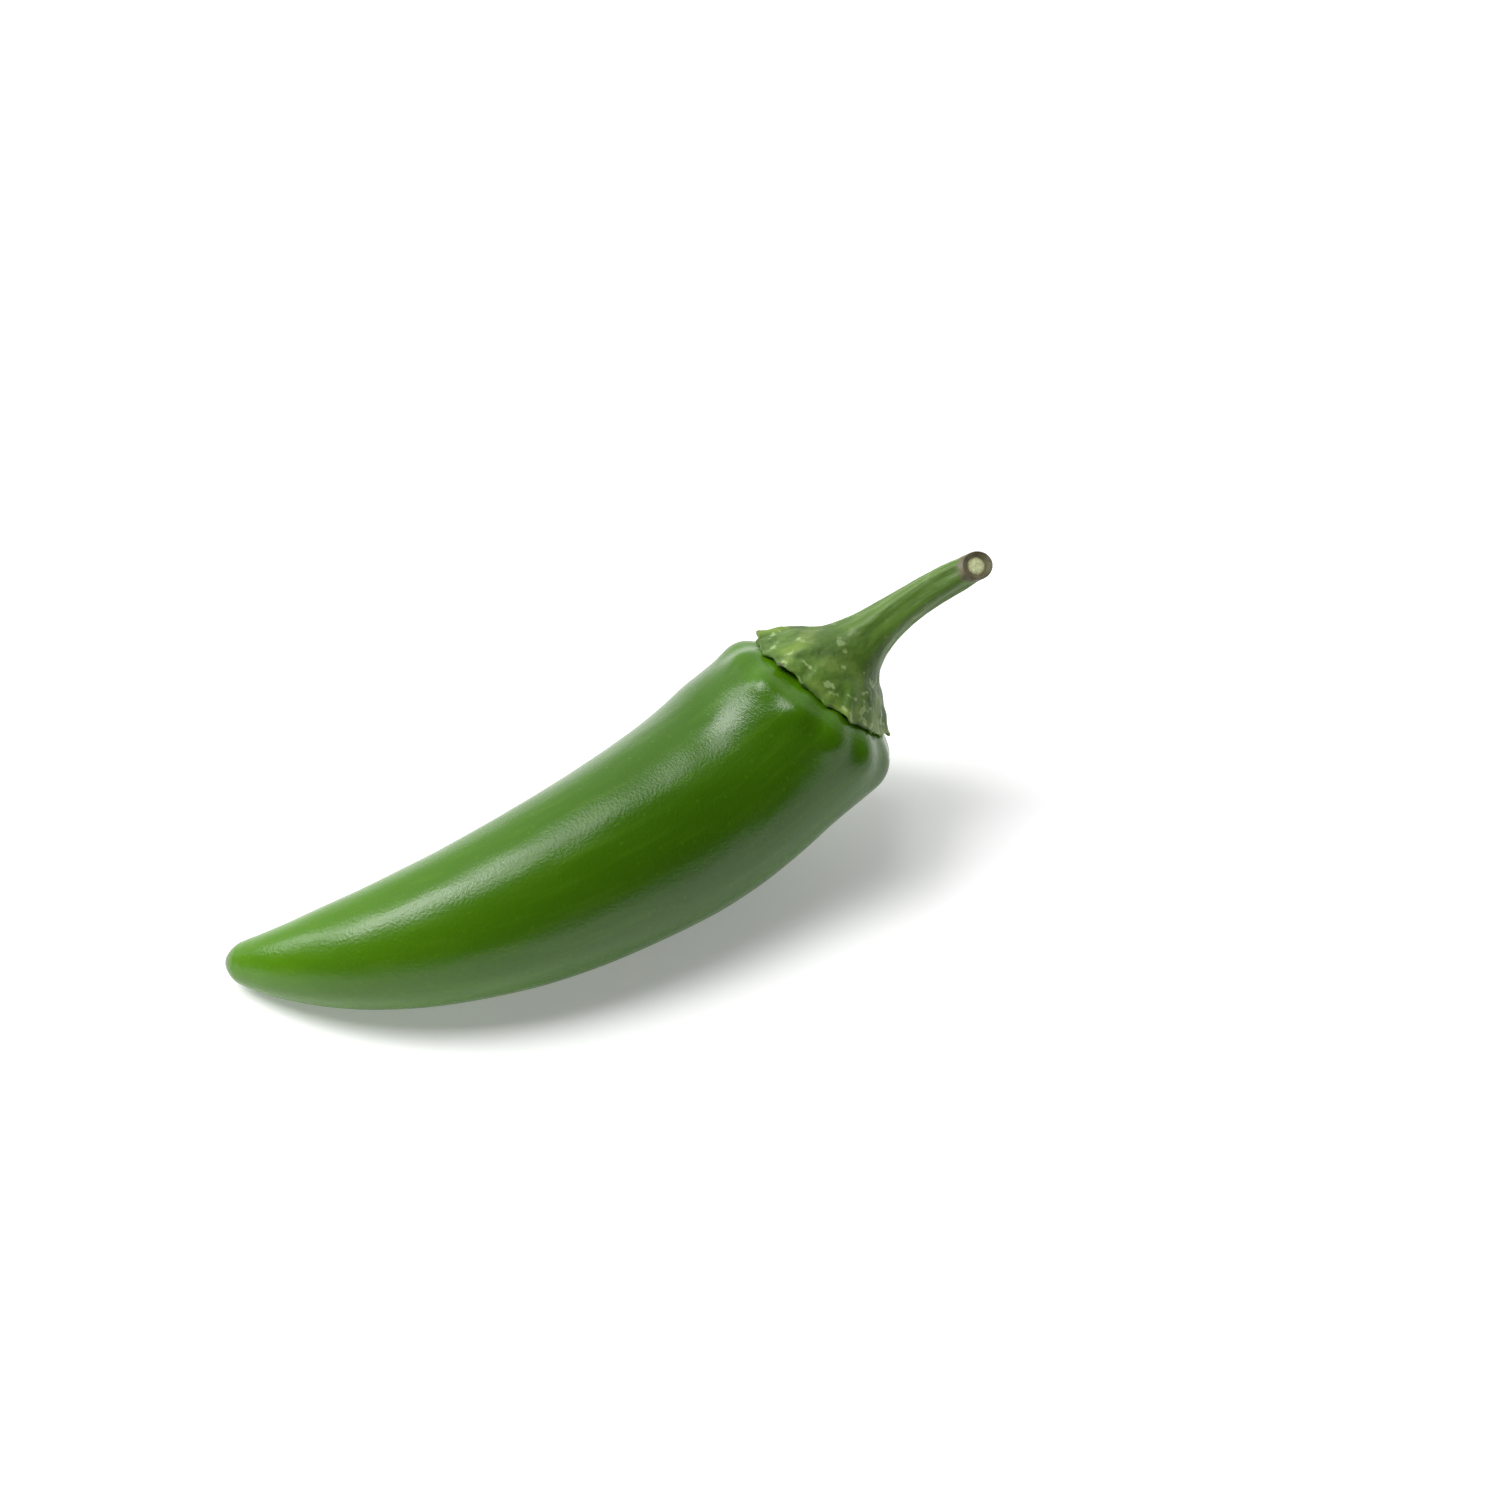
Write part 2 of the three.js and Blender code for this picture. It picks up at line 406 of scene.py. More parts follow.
def sample(tree, geometry, value, index):
    made = node(
        tree,
        "GeometryNodeSampleIndex",
        {"Geometry": geometry, "Value": value, "Index": index},
        data_type="FLOAT_VECTOR",
        domain="POINT",
        clamp=True,
    )
    return output(made)


def named_vector(tree, name):
    return output(
        node(tree, "GeometryNodeInputNamedAttribute", {"Name": name}, data_type="FLOAT_VECTOR")
    )


def set_position(tree, geometry, position):
    return output(
        node(tree, "GeometryNodeSetPosition", {"Geometry": geometry, "Position": position})
    )


def store(tree, geometry, name, vector):
    values = {"Geometry": geometry, "Name": name, "Value": vector}
    made = node(
        tree,
        "GeometryNodeStoreNamedAttribute",
        values,
        data_type="FLOAT_VECTOR",
        domain="POINT",
    )
    return output(made)


def lathe_grid(tree, profile, rows, segments):
    """A grid of rows and segments, with its radius, place along the axis and angle.

    The grid is one unit wide about its middle, so half a unit is added to count from its edge.
    """
    grid = node(
        tree,
        "GeometryNodeMeshGrid",
        {"Size X": 1.0, "Size Y": 1.0, "Vertices X": rows, "Vertices Y": segments + 1},
    )
    x, y, _ = split(tree, output(node(tree, "GeometryNodeInputPosition")))
    row = whole((x + 0.5) * (rows - 1) + 0.5)
    position = output(node(tree, "GeometryNodeInputPosition"))
    radius, _, along = split(tree, sample(tree, profile, position, row))
    angle = (y + 0.5) * (2 * math.pi)
    return output(grid), radius, along, angle


def swell(s, x, along, z):
    """Gives a place about the straight axis the lobes, the bulge and the lean."""
    angle = angle_of(x, z)
    towards = (x * sine(s.full_side) + z * cosine(s.full_side)) / s.pod_radius
    push = bulge(s, along)
    lobe = lobe_depth(s, along) * cosine(angle * s.lobes) * smooth(length_of(x, z), 0, LOBE_FADE)
    leant = along + s.lean * towards * smooth(along, s.lean_start, s.pod_length)
    x = x + lobe * sine(angle) + push * sine(s.full_side)
    z = z + lobe * cosine(angle) + push * cosine(s.full_side)
    return x, leant, z


def bend(tree, s, start, geometry):
    """Bends what stands about the straight axis along the spine, and presses its belly flat."""
    info = node(tree, "GeometryNodeObjectInfo", {"Object": Field(tree, start.outputs["Spine"])})
    spine = output(info, "Geometry")
    straight = output(node(tree, "GeometryNodeInputPosition"))
    x, along, z = swell(s, *split(tree, straight))
    place = along / SPINE_STEP
    step = larger(whole(place), 0)
    part = place - step

    def along_spine(value):
        here = sample(tree, spine, value, step)
        following = sample(tree, spine, value, step + 1)
        gap = vector_calc(tree, "SUBTRACT", following, here)
        return vector_calc(tree, "ADD", here, vector_calc(tree, "SCALE", gap, part))

    centre = along_spine(output(node(tree, "GeometryNodeInputPosition")))
    sideways = vector_calc(tree, "SCALE", along_spine(named_vector(tree, "side")), x)
    upwards = vector_calc(tree, "SCALE", along_spine(named_vector(tree, "up")), z)
    point = vector_calc(tree, "ADD", centre, vector_calc(tree, "ADD", sideways, upwards))
    real_x, real_y, real_z = split(tree, point)
    pressed = join(tree, real_x, real_y, (real_z + length_of(real_z, PRESS_SOFTNESS)) / 2)
    kept = store(tree, geometry, "straight", straight)
    return set_position(tree, kept, pressed)


def close_tree(tree, geometry, material):
    """Welds seams and poles, smooths the shading and ends the tree."""
    welded = node(
        tree, "GeometryNodeMergeByDistance", {"Geometry": geometry, "Distance": WELD_DISTANCE}
    )
    smoothed = node(tree, "GeometryNodeSetShadeSmooth", {"Geometry": output(welded)})
    real = node(tree, "GeometryNodeRealizeInstances", {"Geometry": output(smoothed)})
    painted = node(
        tree, "GeometryNodeSetMaterial", {"Geometry": output(real), "Material": material}
    )
    finish = node(tree, "NodeGroupOutput")
    tree.links.new(painted.outputs[0], finish.inputs[0])


def run_tree(name, tree, profile_points, spine):
    """Runs a tree on a profile and returns its result as a plain mesh object."""
    source = line_object(name + "_profile", profile_points)
    modifier = source.modifiers.new(name, "NODES")
    modifier.node_group = tree
    for socket in tree.interface.items_tree:
        if socket.in_out == "INPUT" and socket.name in SIZES:
            modifier[socket.identifier] = float(SIZES[socket.name])
        if socket.in_out == "INPUT" and socket.name == "Spine":
            modifier[socket.identifier] = spine
    depsgraph = bpy.context.evaluated_depsgraph_get()
    mesh = bpy.data.meshes.new_from_object(source.evaluated_get(depsgraph))
    mesh.name = name
    bpy.data.objects.remove(source)
    piece = bpy.data.objects.new(name, mesh)
    bpy.context.scene.collection.objects.link(piece)
    return piece


def lathe_piece(name, profile, segments, shape, material, spine):
    """A piece turned from a profile, shaped by its own rule, then bent along the spine."""
    tree, start, s = new_tree(name)
    rows = len(profile)
    made = lathe_grid(tree, Field(tree, start.outputs["Profile"]), rows, segments)
    grid, radius, along, angle = made
    radius, along = shape(tree, s, radius, along, angle)
    turned = join(tree, radius * sine(angle), along, radius * cosine(angle))
    straight = set_position(tree, grid, turned)
    close_tree(tree, bend(tree, s, start, straight), material)
    points = [(r, 0, a) for r, a in profile]
    return run_tree(name, tree, points, spine)


# ---- Pod ----

POD_ROWS = 330
POD_SEGMENTS = 240
POD_CROWDING = 0.8  # how strongly the rows crowd towards the two ends, from 0 to 1
DENT_SCALE = 28.0
RIPPLE_SCALE = 110.0
DENT_STRETCH = 0.5  # dents and ripples are longer along the pod than across it
WAIST_SIDE = math.radians(8)  # the side of the waist, from the top towards the right
PUCKERS = 13
PUCKER_WANDER = 2000  # phase, in radians, that a metre of ripple adds to the puckers
PUCKER_START = 81 * MM
PUCKER_FULL = 86.5 * MM
POLE_FADE = 6 * MM  # radius within which the relief fades out towards the two ends


def pod_profile():
    """From the tip to the middle of the shoulder's end, with the rows crowded at both ends."""
    profile = []
    for row in range(POD_ROWS + 1):
        share = row / POD_ROWS
        crowded = share - POD_CROWDING * math.sin(2 * math.pi * share) / (2 * math.pi)
        along = S.pod_length * (1 if row == POD_ROWS else crowded)
        at_pole = row in (0, POD_ROWS)
        profile.append((0 if at_pole else pod_radius(S, along), along))
    return profile


def shape_pod(tree, s, radius, along, angle):
    """Soft dents and ripples in the wall, a shallow waist on top below the shoulder, and puckers
    where the calyx grips it."""
    x = radius * sine(angle)
    z = radius * cosine(angle)
    long_way = join(tree, x, along * DENT_STRETCH + s.seed, z)
    dents = s.dent_depth * noise(tree, long_way, DENT_SCALE, detail=0.0)
    ripples = s.ripple_depth * noise(tree, long_way, RIPPLE_SCALE)
    grip = smooth(along, PUCKER_START, PUCKER_FULL)
    puckers = s.pucker_depth * cosine(angle * PUCKERS + ripples * PUCKER_WANDER) * grip
    off_waist = (along - s.waist_place) / s.waist_length
    on_top = larger(cosine(angle - WAIST_SIDE), 0)
    waist = s.waist_depth * exponent(-(off_waist * off_waist)) * on_top * on_top
    fade = smooth(radius, 0, POLE_FADE)
    return radius + (dents + ripples + puckers - waist) * fade, along


# ---- Calyx ----

CALYX_SEGMENTS = 288
UNDERSIDE_ROWS = 24
EDGE_ROWS = 8
FLARE_ROWS = 80
HIDDEN_ROWS = 8
CALYX_SINK = 0.25 * MM
SMALL_TEETH = 17
SMALL_TOOTH_SHARE = 0.5  # of a large tooth's length
TEETH_WANDER = 2  # phase, in radians, that the noise adds to the teeth
SMALL_TEETH_WANDER = 3
WANDER_SCALE = 150.0
WRINKLE_SCALE = 430.0
WRINKLE_STRETCH = 0.6
CREASING = 0.6  # roughness of the noise in the rim, the wrinkles and the mottled skin
RIM_HUG = 0.85  # how closely the rim lies on the shoulder, from 0 to 1
HUG_WANDER = 1.4
TOOTH_CURL = 0.5  # how much less closely the points of the teeth lie
# Bands of width, as a share of the calyx's radius.
PUFF_RISE = (0.4, 0.75)
PUFF_FALL = (0.85, 1.02)
RIM_BAND = (0.7, 1.0)
CALYX_BAND = (0.25, 0.6)
LIFT_START = 6.5 * MM  # radius from which the calyx stands off the shoulder
HIDDEN_LENGTH = 1 * MM  # by which the calyx and the stem reach into each other
HIDDEN_DEPTH = 0.25 * MM


def underside(radius):
    """Sunk into the pod near the middle, and the sheet's thickness under the rim at the edge."""
    low = shoulder_at(S, radius) - CALYX_SINK
    high = rim_height(S) - S.sheet_thickness
    return between(low, high, smooth(radius, LIFT_START, S.calyx_radius))


def calyx_profile():
    """From the middle of the underside, round the rim, up the flare and into the stem."""
    profile = []
    for row in range(UNDERSIDE_ROWS):
        radius = S.calyx_radius * row / UNDERSIDE_ROWS
        profile.append((radius, underside(radius)))
    half = S.sheet_thickness / 2
    for row in range(EDGE_ROWS):
        turn = math.pi * (row / EDGE_ROWS - 0.5)
        edge = S.calyx_radius + half * math.cos(turn)
        profile.append((edge, rim_height(S) - half + half * math.sin(turn)))
    for row in range(FLARE_ROWS + 1):
        along = between(rim_height(S), STEM_START, row / FLARE_ROWS)
        profile.append((flare_radius(S, along), along))
    for row in range(1, HIDDEN_ROWS + 1):
        share = row / HIDDEN_ROWS
        along = STEM_START + HIDDEN_LENGTH * share
        profile.append((flare_radius(S, along) - HIDDEN_DEPTH * share, along))
    profile.append((0, STEM_START + HIDDEN_LENGTH))
    return profile


def shape_green(tree, s, radius, along, angle):
    """Ribs run down the stem on to the calyx, whose skin wrinkles and whose rim is toothed."""
    x = radius * sine(angle)
    z = radius * cosine(angle)
    wander = noise(tree, join(tree, x, s.seed, z), WANDER_SCALE, roughness=CREASING)
    width = radius / s.calyx_radius
    tooth = larger(cosine(angle * s.teeth + wander * TEETH_WANDER), 0) ** s.tooth_narrowness
    small = larger(cosine(angle * SMALL_TEETH - wander * SMALL_TEETH_WANDER), 0) ** 2
    reach = width ** s.rim_width_power
    teeth = s.tooth_length * (tooth + SMALL_TOOTH_SHARE * small)
    outward = (teeth + s.rim_wander * wander) * reach
    hug = clamp(RIM_HUG + wander * HUG_WANDER - tooth * TOOTH_CURL)
    puff = s.calyx_puff * smooth(width, *PUFF_RISE) * (1 - smooth(width, *PUFF_FALL))
    edge = smooth(width, *RIM_BAND)
    slide = (shoulder_at(s, radius) - shoulder_at(s, radius + outward)) * edge
    drop = s.rim_lift * hug * edge + slide - puff
    rib = s.rib_height * cosine(angle * STEM_RIBS + along * RIB_TWIST + wander)
    wrinkle_place = join(tree, x, along * WRINKLE_STRETCH, z)
    wrinkle = s.wrinkle_depth * noise(tree, wrinkle_place, WRINKLE_SCALE, 3.0, CREASING)
    on_calyx = smooth(width, *CALYX_BAND)
    wrinkle = wrinkle * between(STEM_WRINKLE_SHARE, 1, on_calyx)
    before_cut = 1 - smooth(along - STEM_END, *RELIEF_END)
    off_axis = clamp(width / AXIS_WIDTH)
    relief = (rib + wrinkle) * before_cut * off_axis
    return radius + outward + relief * (1 - on_calyx), along - drop + relief * on_calyx


# ---- Stem and pith ----

STEM_SEGMENTS = 144
STEM_ROWS = 190
LIP_ROWS = 12
STEM_RIBS = 5
RIB_TWIST = 60  # radians for each metre along the stem
STEM_WRINKLE_SHARE = 0.25  # of the calyx's wrinkles
AXIS_WIDTH = 0.2  # share of the calyx's radius below which the relief fades out
RELIEF_END = (-3 * MM, -1 * MM)  # from the stem's end, where the relief fades out
LIP_WIDTH = 0.12 * MM
DRY_SHRINKING = 0.16 * MM  # of the stem towards its dried cut
DRY_LENGTH = 5 * MM
PITH_SEGMENTS = 48
PITH_ROWS = 16
PITH_RADIUS = 1.22 * MM
PITH_SINK = 0.2 * MM  # of the pith's middle below the cut
PITH_CROWN = 0.1 * MM  # by which the pith's middle stands above its edge
PITH_DEPTH = 0.9 * MM
PITH_GRAIN_DEPTH = 0.06 * MM
PITH_GRAIN_SCALE = 1800.0
# The pith's seat in the cut: the radius and the depth of its edge and of its floor.
SEAT_EDGE = (PITH_RADIUS * 1.1, PITH_SINK * 0.5)
SEAT_FLOOR = (PITH_RADIUS * 0.9, PITH_SINK * 1.6)


def stem_profile():
    """From inside the calyx along the stem, over the lip of the cut and into the pith's seat."""
    profile = [(0, STEM_START - HIDDEN_LENGTH)]
    for row in range(HIDDEN_ROWS):
        share = 1 - row / HIDDEN_ROWS
        along = STEM_START - HIDDEN_LENGTH * share
        profile.append((flare_radius(S, along) - HIDDEN_DEPTH * share, along))
    for row in range(STEM_ROWS + 1):
        along = between(STEM_START, STEM_END - LIP_WIDTH, row / STEM_ROWS)
        shrinking = DRY_SHRINKING * smooth(along, STEM_END - DRY_LENGTH, STEM_END)
        profile.append((flare_radius(S, along) - shrinking, along))
    outer, _ = profile[-1]
    for row in range(1, LIP_ROWS + 1):
        turn = math.pi / 2 * row / LIP_ROWS
        radius = outer - LIP_WIDTH * (1 - math.cos(turn))
        profile.append((radius, STEM_END - LIP_WIDTH * (1 - math.sin(turn))))
    for radius, depth in (SEAT_EDGE, SEAT_FLOOR, (0, SEAT_FLOOR[1])):
        profile.append((radius, STEM_END - depth))
    return profile


def pith_profile():
    """A plug with a low crown, seated in the cut."""
    profile = [(0, STEM_END - PITH_DEPTH), (PITH_RADIUS, STEM_END - PITH_DEPTH)]
    for row in range(PITH_ROWS + 1):
        turn = math.pi / 2 * row / PITH_ROWS
        depth = PITH_SINK + PITH_CROWN * (1 - math.sin(turn))
        profile.append((PITH_RADIUS * math.cos(turn), STEM_END - depth))
    return profile


def slant(s, radius, along, angle):
    """Slants what lies towards the cut end."""
    x = radius * sine(angle)
    z = radius * cosine(angle)
    offset = x * sine(s.cut_facing) + z * cosine(s.cut_facing)
    share = clamp((along - CUT_START) / (STEM_END - CUT_START))
    return along - s.cut_slope * offset * share


def shape_stem(tree, s, radius, along, angle):
    radius, along = shape_green(tree, s, radius, along, angle)
    return radius, slant(s, radius, along, angle)


def shape_pith(tree, s, radius, along, angle):
    x = radius * sine(angle)
    z = radius * cosine(angle)
    grain = PITH_GRAIN_DEPTH * noise(tree, join(tree, x, s.seed, z), PITH_GRAIN_SCALE)
    return radius, slant(s, radius, along, angle) + grain


# ---- Materials ----

SKIN_IOR = 1.45
# The colour sockets of a Mix node go by place, because other kinds of value share their names.
MIX_COLOURS = (6, 7)
MIX_RESULT = 2


def new_material(name):
    """A new material with its tree and its shader."""
    material = bpy.data.materials.new(name)
    material.use_nodes = True
    tree = material.node_tree
    return material, tree, tree.nodes["Principled BSDF"]


def straight_place(tree):
    """Place on the piece before it was bent."""
    made = tree.nodes.new("ShaderNodeAttribute")
    made.attribute_name = "straight"
    return output(made, "Vector")


def drawn_out(tree, place, squeeze):
    """Squeezes places along the pepper, so that a pattern laid there is drawn out lengthways."""
    made = node(tree, "ShaderNodeMapping", {"Vector": place}, vector_type="POINT")
    made.inputs["Scale"].default_value = (1, squeeze, 1)
    return output(made)


def mix(tree, share, first, second):
    """Mixes two colours, each a field or a plain colour."""
    made = tree.nodes.new("ShaderNodeMix")
    made.data_type = "RGBA"
    feed(tree, made.inputs["Factor"], share)
    for place, colour in zip(MIX_COLOURS, (first, second)):
        plain = not isinstance(colour, Field)
        feed(tree, made.inputs[place], (*colour, 1) if plain else colour)
    return output(made, MIX_RESULT)


def paint(tree, shader, colour, roughness, height, distance):
    """Feeds a shader its colour, its roughness and its fine relief."""
    feed(tree, shader.inputs["Base Color"], colour)
    feed(tree, shader.inputs["Roughness"], roughness)
    relief = node(tree, "ShaderNodeBump", {"Height": height})
    relief.inputs["Distance"].default_value = distance
    tree.links.new(relief.outputs[0], shader.inputs["Normal"])


POD_DARK = (0.036, 0.114, 0.0006)
POD_MIDDLE = (0.056, 0.168, 0.001)
POD_TIP = (0.09, 0.25, 0.003)
SCAR_BROWN = (0.06, 0.075, 0.012)
POD_PALE = (0.15, 0.32, 0.02)
# Patches for each metre.
CLOUD_SCALE = 90.0
STREAK_SCALE = 900.0
SPECK_SCALE = 620.0
FINE_SCALE = 2600.0
CLOUD_SQUEEZE = 0.5
STREAK_SQUEEZE = 0.06
MIDDLE_SHARE = 0.35  # of the middle green, where the clouds neither raise nor lower it
CLOUD_SHARE = 0.5  # by which the clouds raise or lower it at most
# How much of each other tint shows where it is strongest.
STREAK_SHARE = 0.28
SPECK_SHARE = 0.16
SHOULDER_SHARE = 0.5
SCAR_SHARE = 0.85
# Where along the pod each tint fades, and how far the noise moves it.
TIP_BAND = (4 * MM, 62 * MM)
TIP_WANDER = 6 * MM
SHOULDER_BAND = (83 * MM, 89 * MM)
SHOULDER_WANDER = 4 * MM
SCAR_BAND = (0.4 * MM, 2.2 * MM)
SCAR_WANDER = 0.5 * MM
SPECK_EDGE = (0.08, 0.2)  # from a speck's middle, as a share of the usual gap between specks
POD_ROUGHNESS = 0.25
CLOUD_ROUGHENING = 0.06
FINE_ROUGHENING = 0.02
CLOUD_RELIEF = 2  # times the fine relief
POD_RELIEF = 0.02 * MM


def pod_skin():
    """Glossy dark green with faint streaks and pale specks, brighter towards the tip and on the
    shoulder, and with a brown scar where the blossom was."""
    material, tree, shader = new_material("pod_skin")
    place = straight_place(tree)
    _, along, _ = split(tree, place)
    cloud = noise(tree, drawn_out(tree, place, CLOUD_SQUEEZE), CLOUD_SCALE, detail=3.0)
    streak = noise(tree, drawn_out(tree, place, STREAK_SQUEEZE), STREAK_SCALE, detail=3.0)
    tipward = 1 - smooth(along + cloud * TIP_WANDER, *TIP_BAND)
    colour = mix(tree, tipward, POD_DARK, POD_TIP)
    colour = mix(tree, clamp(cloud * CLOUD_SHARE + MIDDLE_SHARE), colour, POD_MIDDLE)
    colour = mix(tree, clamp(streak * STREAK_SHARE), colour, POD_PALE)
    cells = node(tree, "ShaderNodeTexVoronoi", {"Vector": place, "Scale": SPECK_SCALE})
    speck = 1 - smooth(output(cells, "Distance"), *SPECK_EDGE)
    colour = mix(tree, speck * SPECK_SHARE, colour, POD_PALE)
    fine = noise(tree, place, FINE_SCALE)
    shoulder = smooth(along + cloud * SHOULDER_WANDER, *SHOULDER_BAND)
    colour = mix(tree, shoulder * SHOULDER_SHARE, colour, POD_TIP)
    scar = 1 - smooth(along + fine * SCAR_WANDER, *SCAR_BAND)
    colour = mix(tree, scar * SCAR_SHARE, colour, SCAR_BROWN)
    roughness = POD_ROUGHNESS + cloud * CLOUD_ROUGHENING + fine * FINE_ROUGHENING
    paint(tree, shader, colour, roughness, fine + cloud * CLOUD_RELIEF, POD_RELIEF)
    shader.inputs["IOR"].default_value = SKIN_IOR
    return material


GREEN_LEAFY = (0.11, 0.215, 0.024)
GREEN_DARK = (0.04, 0.095, 0.006)
GREEN_PALE = (0.33, 0.45, 0.17)
GREEN_YELLOW = (0.2, 0.31, 0.05)
RIM_BROWN = (0.045, 0.04, 0.018)
CUT_BROWN = (0.085, 0.07, 0.03)
CUT_GREY = (0.26, 0.25, 0.15)
MOTTLE_SCALE = 420.0
CORK_SCALE = 600.0
BLOTCH_SCALE = 260.0
GRAIN_SCALE = 1500.0
GRAIN_SQUEEZE = 0.05
GRAIN_SHARE = 0.6
PATTERN_CONTRAST = 1.5
DARK_SHARE = 0.3
YELLOW_SHARE = 0.8
FOOT_SHADE_SHARE = 0.55
CORK_SHARE = 0.8
STEM_CORK_SHARE = 0.2  # of the corky spots of the calyx
RIM_CORK = 0.1  # by which the spots gain towards the rim
RIM_SHARE = 0.8
BROWN_WANDER = 0.15
GREY_SHARE = 0.5
GREY_CONTRAST = 0.8
BLOTCH_EDGE = (-0.1, 0.3)
CORK_EDGE = (0.24, 0.4)
CORK_BAND = (0.6, 0.95)  # share of the calyx's radius over which the corky spots grow denser
BROWN_BAND = (1.06, 1.13)  # share of the calyx's radius over which the teeth turn brown
FOOT_PLACE = STEM_START + 1 * MM  # of the painted shade round the foot of the stem
FOOT_LENGTH = 2.2 * MM
CALYX_FADE = (-1 * MM, 4 * MM)  # from the stem's start, where calyx marks give way to grain
DRY_BAND = (0.3 * MM, 1.3 * MM)  # from the cut
DRY_WANDER = 0.4 * MM
GREEN_ROUGHNESS = 0.5
MOTTLE_ROUGHENING = 0.1
CORK_RELIEF = 0.5  # times the relief of the pattern
GREEN_RELIEF = 0.1 * MM


def green_skin(name):
    """Matt green of calyx and stem: mottled, with yellow patches and corky pale spots on the
    calyx, with painted shade at the foot of the stem and grain along it, browned at the tips of
    the teeth and dried olive brown at the cut."""
    material, tree, shader = new_material(name)
    place = straight_place(tree)
    x, along, z = split(tree, place)
    width = length_of(x, z) / S.calyx_radius
    mottle = noise(tree, place, MOTTLE_SCALE, 4.0, CREASING)
    patch = noise(tree, place, CORK_SCALE)
    blotch = noise(tree, place, BLOTCH_SCALE, detail=1.0)
    grain = noise(tree, drawn_out(tree, place, GRAIN_SQUEEZE), GRAIN_SCALE, detail=3.0)
    on_calyx = 1 - smooth(along - STEM_START, *CALYX_FADE)
    pattern = mottle * on_calyx + grain * GRAIN_SHARE * (1 - on_calyx)
    darkened = clamp(pattern * PATTERN_CONTRAST + DARK_SHARE)
    colour = mix(tree, darkened, GREEN_LEAFY, GREEN_DARK)
    yellowed = smooth(blotch, *BLOTCH_EDGE) * on_calyx
    colour = mix(tree, yellowed * YELLOW_SHARE, colour, GREEN_YELLOW)
    # painted shade: a darker ring where the stem meets the calyx
    off_foot = (along - FOOT_PLACE) / FOOT_LENGTH
    foot = exponent(-(off_foot * off_foot))
    colour = mix(tree, foot * FOOT_SHADE_SHARE, colour, GREEN_DARK)
    rimward = smooth(width, *CORK_BAND)
    corky = smooth(patch + RIM_CORK * rimward, *CORK_EDGE)
    corky = corky * between(STEM_CORK_SHARE, 1, on_calyx)
    colour = mix(tree, corky * CORK_SHARE, colour, GREEN_PALE)
    browned = smooth(width + mottle * BROWN_WANDER, *BROWN_BAND)
    colour = mix(tree, browned * RIM_SHARE, colour, RIM_BROWN)
    facing = x * math.sin(S.cut_facing) + z * math.cos(S.cut_facing)
    from_cut = STEM_END - S.cut_slope * facing - along
    dry = 1 - smooth(from_cut + patch * DRY_WANDER, *DRY_BAND)
    dried = mix(tree, clamp(patch * GREY_CONTRAST + GREY_SHARE), CUT_BROWN, CUT_GREY)
    colour = mix(tree, dry, colour, dried)
    roughness = GREEN_ROUGHNESS + mottle * MOTTLE_ROUGHENING
    paint(tree, shader, colour, roughness, pattern + patch * CORK_RELIEF, GREEN_RELIEF)
    shader.inputs["IOR"].default_value = SKIN_IOR
    return material


PITH_CREAM = (0.74, 0.78, 0.43)
PITH_DARK = (0.35, 0.36, 0.14)
FLECK_SCALE = 2500.0
PITH_EDGE = (0.6, 1.0)  # share of the pith's radius over which it darkens
PITH_WANDER = 0.2
PITH_ROUGHNESS = 0.6
FLECK_ROUGHENING = 0.1
PITH_RELIEF = 0.1 * MM


def pith_flesh():
    """Pale cream pith, darker round its edge."""
    material, tree, shader = new_material("pith_flesh")
    place = straight_place(tree)
    x, _, z = split(tree, place)
    width = length_of(x, z) / PITH_RADIUS
    fleck = noise(tree, place, FLECK_SCALE, detail=3.0)
    edge = smooth(width + fleck * PITH_WANDER, *PITH_EDGE)
    colour = mix(tree, edge, PITH_CREAM, PITH_DARK)
    roughness = PITH_ROUGHNESS + fleck * FLECK_ROUGHENING
    paint(tree, shader, colour, roughness, fleck, PITH_RELIEF)
    return material


# ---- Stage: floor, lights and camera ----

FLOOR_SIZE = 6.0
FLOOR_DROP = 0.02 * MM  # keeps the floor clear of the pressed belly
FLOOR_WHITE = 0.9
FLOOR_BRIGHT = FLOOR_WHITE * 1.05
FLOOR_CLOUD_SCALE = 3.0
FLOOR_CLOUD_SHARE = 0.1
FLOOR_ROUGHNESS = 0.9
FLOOR_SHINE = 0.1
FLOOR_PAINTED_GLOW = 0.27  # painted light: the floor glows evenly, so the shadows on it stay pale
SOFTBOX_DISTANCE = 1.5
WORLD_DARK = 0.03
WORLD_PALE = 0.78
WORLD_FADE = (0.15, 0.6)  # how far a direction points away, where the dark turns pale


def add_floor():
    bpy.ops.mesh.primitive_plane_add(size=FLOOR_SIZE)
    floor = bpy.context.object
    floor.name = "floor"
    floor.location.z = -FLOOR_DROP
    material, tree, shader = new_material("floor_paper")
    place = output(node(tree, "ShaderNodeTexCoord"), "Object")
    cloud = clamp(noise(tree, place, FLOOR_CLOUD_SCALE) * FLOOR_CLOUD_SHARE)
    colour = mix(tree, cloud, (FLOOR_WHITE,) * 3, (FLOOR_BRIGHT,) * 3)
    feed(tree, shader.inputs["Base Color"], colour)
    shader.inputs["Roughness"].default_value = FLOOR_ROUGHNESS
    shader.inputs["Specular IOR Level"].default_value = FLOOR_SHINE
    # painted light: the paper floor glows, which pales its shadows and lights the pepper from
    # below
    shader.inputs["Emission Color"].default_value = (1, 1, 1, 1)
    shader.inputs["Emission Strength"].default_value = FLOOR_PAINTED_GLOW
    floor.data.materials.append(material)


